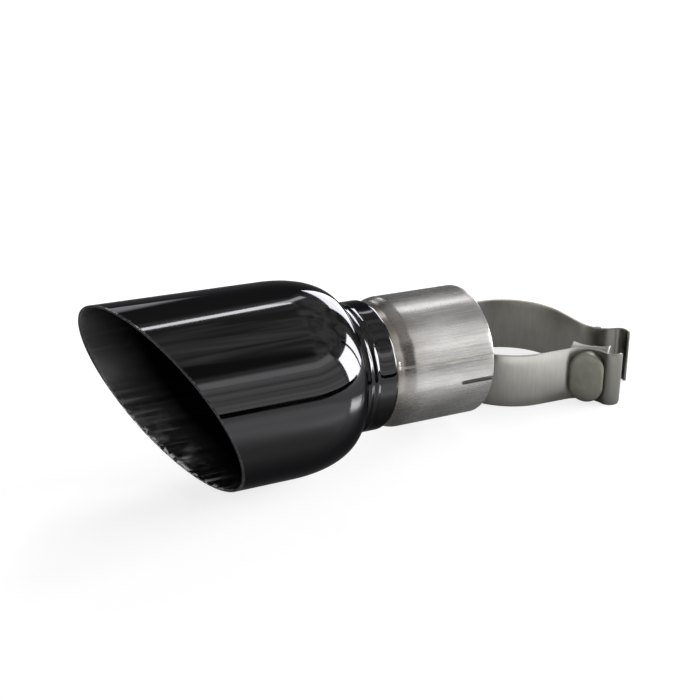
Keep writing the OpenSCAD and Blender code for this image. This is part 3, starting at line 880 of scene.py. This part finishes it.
shaded = add_node(tree, "ShaderNodeMath", {0: near, 1: behind}, operation="MAXIMUM")
shaded = add_node(tree, "ShaderNodeMath", {0: shaded, 1: ray["Is Glossy Ray"]}, operation="MULTIPLY")
tone = add_node(tree, "ShaderNodeMix", {SHARE: shaded, FROM: paint("#edeeee"), TO: paint("#505050")},
                data_type="RGBA")
tone = add_node(tree, "ShaderNodeMix", {SHARE: ray["Is Camera Ray"], FROM: tone, TO: paint("#909090")},
                data_type="RGBA")
paper = add_node(tree, "ShaderNodeBsdfDiffuse", {"Color": tone})

# The skin shines in the metal only on the open table in front of the tip. Beside the clamp it would
# mirror the lamps into the bare steel.
left = add_node(tree, "ShaderNodeMapRange", {"Value": across["X"], "From Min": 0.03, "From Max": 0.09,
                                             "To Min": 1.0, "To Max": 0.0})
front = add_node(tree, "ShaderNodeMapRange", {"Value": across["Y"], "From Min": -0.09, "From Max": -0.05,
                                              "To Min": 1.0, "To Max": 0.0})
shiny = add_node(tree, "ShaderNodeMath", {0: left, 1: front}, operation="MULTIPLY")
shiny = add_node(tree, "ShaderNodeMath", {0: shiny, 1: ray["Is Glossy Ray"]}, operation="MULTIPLY")
skin_tone = add_node(tree, "ShaderNodeMix", {SHARE: shiny, FROM: (0, 0, 0, 1), TO: paint("#b8b8b8")},
                     data_type="RGBA")
skin = add_node(tree, "ShaderNodeBsdfGlossy", {"Color": skin_tone, "Roughness": 0.15})
surface = add_node(tree, "ShaderNodeAddShader", {0: paper, 1: skin})

# The rest of its white is a glow. For the camera it grows from under the tip out to the horizon,
# and the metal sees a little of it.
white = add_node(tree, "ShaderNodeMapRange", {"Value": away, "From Min": 0.25, "From Max": 1.5,
                                              "To Min": 0.78, "To Max": 0.9})
white = add_node(tree, "ShaderNodeMath", {0: ray["Is Camera Ray"], 1: white}, operation="MULTIPLY")
for kind_of_ray, share in (("Is Glossy Ray", 0.05), ("Is Transmission Ray", 0.78)):
    white = add_node(tree, "ShaderNodeMath", {0: ray[kind_of_ray], 1: share, 2: white},
                     operation="MULTIPLY_ADD")
glow = add_node(tree, "ShaderNodeEmission", {"Color": (1, 1, 1, 1), "Strength": white})
surface = add_node(tree, "ShaderNodeAddShader", {0: surface, 1: glow})
add_node(tree, "ShaderNodeOutputMaterial", {"Surface": surface})
table.data.materials.append(table_white)


# Black card and lamp arm
# A long card stands on the table on the camera's side, and draws the thin black line along the barrel
# between the table's reflection and the room's. The arm of a lamp stand crosses the large soft box.
# The camera sees neither.

CARD_Y = -0.7
CARD_HEIGHT = 0.068
CARD_THICK = 0.003
ARM_DISTANCE = 2.2
ARM_THICK = 0.01
BARREL_MIDDLE = Vector((-0.09, -0.02, 0))


def round_tip(azimuth, elevation, distance):
    """A point at the azimuth and the distance from the barrel, raised to the elevation, in degrees."""
    a, e = radians(azimuth), radians(elevation)
    return BARREL_MIDDLE + distance * Vector((cos(a), sin(a), tan(e)))


card_points = [Vector((x, y, TABLE_Z + z)) for y in (CARD_Y, CARD_Y - CARD_THICK) for x, z in
               ((-0.35, 0), (1.6, 0), (1.6, CARD_HEIGHT), (-0.35, CARD_HEIGHT))]
card = solid("black_card", card_points, capped_faces(2, 4))
arm_points = [round_tip(azimuth, elevation, ARM_DISTANCE) + Vector((dx, 0, 0)) for dx in (0, ARM_THICK)
              for azimuth, elevation in ((-16.3, 30), (-13.3, 30), (-6.5, -1), (-9.5, -1))]
arm = solid("lamp_arm", arm_points, capped_faces(2, 4))
card_black, tree, shader = new_finish("black card", 0.0)
feed(tree, shader, {"Base Color": paint("#0b0b0b"), "Roughness": 0.9})
for piece in (arm, card):
    piece.data.materials.append(card_black)
    piece.visible_camera = False
card.visible_diffuse = False
card.visible_shadow = False


# Lamps
# Two soft boxes low on the inlet's side and a tall strip over the small one, with a weaker low end.
# They make the white patches on the dome and the long streak on the barrel. The bare steel is lit
# more softly, as by the same boxes through a net and by light off the ceiling, and stays below white.

LAMP_DISTANCE = 2.3

for_black = bpy.data.collections.new("lit in full")
for piece in (shell, table):
    for_black.objects.link(piece)
for_steel = bpy.data.collections.new("lit through a net")
for piece in (tube, seam, tacks, band, spacer, bolt, bar, washer, nut):
    for_steel.objects.link(piece)

# Angles are in degrees, and the glow is the radiance of the lamp's face.
for name, azimuth, low, high, spread, tilt, glow, lit in (
        ("large soft box", -17, -0.8, 25, 37, 0, 30, for_black),
        ("small soft box", 36, -0.8, 26, 25, -16, 30, for_black),
        ("tall strip", 43.5, 47, 62, 4.5, 0, 20, for_black),
        ("strip's low end", 44.5, 34, 47, 3.5, 0, 8, for_black),
        ("large soft box behind its net", -17, -0.8, 25, 37, 0, 10, for_steel),
        ("small soft box behind its net", 33, 3, 24, 17, 0, 8, for_steel),
        ("bounce from the ceiling", -42, 35, 58, 32, 0, 1.2, for_steel),
        ("bounce above the small soft box", 36, 40, 52, 12, 0, 4, for_steel)):
    lamp = bpy.data.lights.new(name, "AREA")
    lamp.shape = "RECTANGLE"
    lamp.size = 2 * LAMP_DISTANCE * tan(radians(spread / 2))
    lamp.size_y = LAMP_DISTANCE * (tan(radians(high)) - tan(radians(low)))
    lamp.energy = glow * lamp.size * lamp.size_y * math.pi
    stand = bpy.data.objects.new(name, lamp)
    middle = (round_tip(azimuth, low, LAMP_DISTANCE) + round_tip(azimuth, high, LAMP_DISTANCE)) / 2
    facing = Vector((cos(radians(azimuth)), sin(radians(azimuth)), 0))
    upward = Vector((0, 0, 1))
    turn = Matrix((upward.cross(facing), upward, facing)).transposed().to_4x4()
    stand.matrix_world = Matrix.Translation(middle) @ turn @ Matrix.Rotation(radians(tilt), 4, "Z")
    stand.visible_camera = False
    stand.light_linking.receiver_collection = lit
    bpy.context.scene.collection.objects.link(stand)


# Room
# A grey, cluttered studio. A draped wall with a lit top stands in front on the inlet's side, and
# parts of the room are dark. Only reflections show it: all else gets a plain grey light, and the
# camera sees plain white.

# The Mix node's sockets for two plain values
WITHOUT, WITH = 2, 3

PLAIN_LIGHT = 0.32

world = bpy.data.worlds.new("studio")
bpy.context.scene.world = world
world.use_nodes = True
tree = world.node_tree
tree.nodes.clear()
outlook = add_node(tree, "ShaderNodeTexCoord").outputs["Generated"]
direction = add_node(tree, "ShaderNodeSeparateXYZ", {0: outlook}).outputs
azimuth = add_node(tree, "ShaderNodeMath", {0: direction["Y"], 1: direction["X"]}, operation="ARCTAN2")
elevation = add_node(tree, "ShaderNodeMath", {0: direction["Z"]}, operation="ARCSINE")


def window(low, high, angle, soft):
    """One between the low and the high angle, in degrees, and falling softly to nothing outside."""
    rise = add_node(tree, "ShaderNodeMapRange", {"Value": angle, "From Min": radians(low - soft),
                    "From Max": radians(low + soft)}, interpolation_type="SMOOTHSTEP")
    fall = add_node(tree, "ShaderNodeMapRange", {"Value": angle, "From Min": radians(high - soft),
                    "From Max": radians(high + soft), "To Min": 1.0, "To Max": 0.0},
                    interpolation_type="SMOOTHSTEP")
    return add_node(tree, "ShaderNodeMath", {0: rise, 1: fall}, operation="MULTIPLY")


clutter = add_node(tree, "ShaderNodeTexNoise", {"Vector": outlook, "Scale": 5.0, "Detail": 5.0,
                                                "Distortion": 1.2})
room = add_node(tree, "ShaderNodeMapRange", {"Value": clutter, "From Min": 0.38, "From Max": 0.62,
                                             "To Min": 0.32, "To Max": 1.0})
drape = add_node(tree, "ShaderNodeTexNoise", {"W": elevation, "Scale": 16.0, "Detail": 3.0},
                 noise_dimensions="1D")
folds = add_node(tree, "ShaderNodeMapRange", {"Value": drape, "From Min": 0.35, "From Max": 0.65,
                                              "To Min": 0.9, "To Max": 2.0})
for name, low_azimuth, high_azimuth, low_elevation, high_elevation, soft, level in (
        ("draped wall", -72, -38, -4, 32, 3, folds),
        ("wall's lit top", -62, -38, 26, 32, 1.5, 2.8),
        ("dark gap", -66, -46, 37, 51, 2.5, 0.15),
        ("dark side", -97, -76, -8, 50, 4, 0.12),
        ("dark wall", 49, 100, -8, 52, 3, 0.25),
        ("thin lamp", 65.5, 69, 13, 27, 1, 5.0),
        ("camera side", -185, -100, -8, 60, 12, 0.7)):
    across = window(low_azimuth, high_azimuth, azimuth, soft)
    upward = window(low_elevation, high_elevation, elevation, soft)
    share = add_node(tree, "ShaderNodeMath", {0: across, 1: upward}, operation="MULTIPLY", label=name)
    room = add_node(tree, "ShaderNodeMix", {SHARE: share, WITHOUT: room, WITH: level}, data_type="FLOAT")
ray = add_node(tree, "ShaderNodeLightPath").outputs
seen = add_node(tree, "ShaderNodeMix", {SHARE: ray["Is Glossy Ray"], WITHOUT: PLAIN_LIGHT, WITH: room},
                data_type="FLOAT")
clear = add_node(tree, "ShaderNodeMath", {0: ray["Is Camera Ray"], 1: ray["Is Transmission Ray"]},
                 operation="MAXIMUM")
seen = add_node(tree, "ShaderNodeMix", {SHARE: clear, WITHOUT: seen, WITH: 1.0}, data_type="FLOAT")
sky = add_node(tree, "ShaderNodeBackground", {"Color": (1, 1, 1, 1), "Strength": seen})
add_node(tree, "ShaderNodeOutputWorld", {"Surface": sky})


# Camera
# It looks down on the tip from the mouth's side, held level, with a long lens. Its place, aim and
# lens were fitted to the outlines in the photo.

CAMERA_PLACE = Vector((-0.4021645, -0.5787024, 0.3343006))
CAMERA_AIM = Vector((0.451939, 0.781096, -0.43086)).normalized()
CAMERA_LENS = 73.30

camera = bpy.data.objects.new("camera", bpy.data.cameras.new("camera"))
bpy.context.scene.collection.objects.link(camera)
bpy.context.scene.camera = camera
right = CAMERA_AIM.cross(Vector((0, 0, 1))).normalized()
camera.matrix_world = (Matrix.Translation(CAMERA_PLACE)
                       @ Matrix((right, right.cross(CAMERA_AIM), -CAMERA_AIM)).transposed().to_4x4())
camera.data.lens = CAMERA_LENS
camera.data.sensor_width = 36
camera.data.clip_start = 0.01
bpy.context.scene.view_settings.view_transform = "Standard"
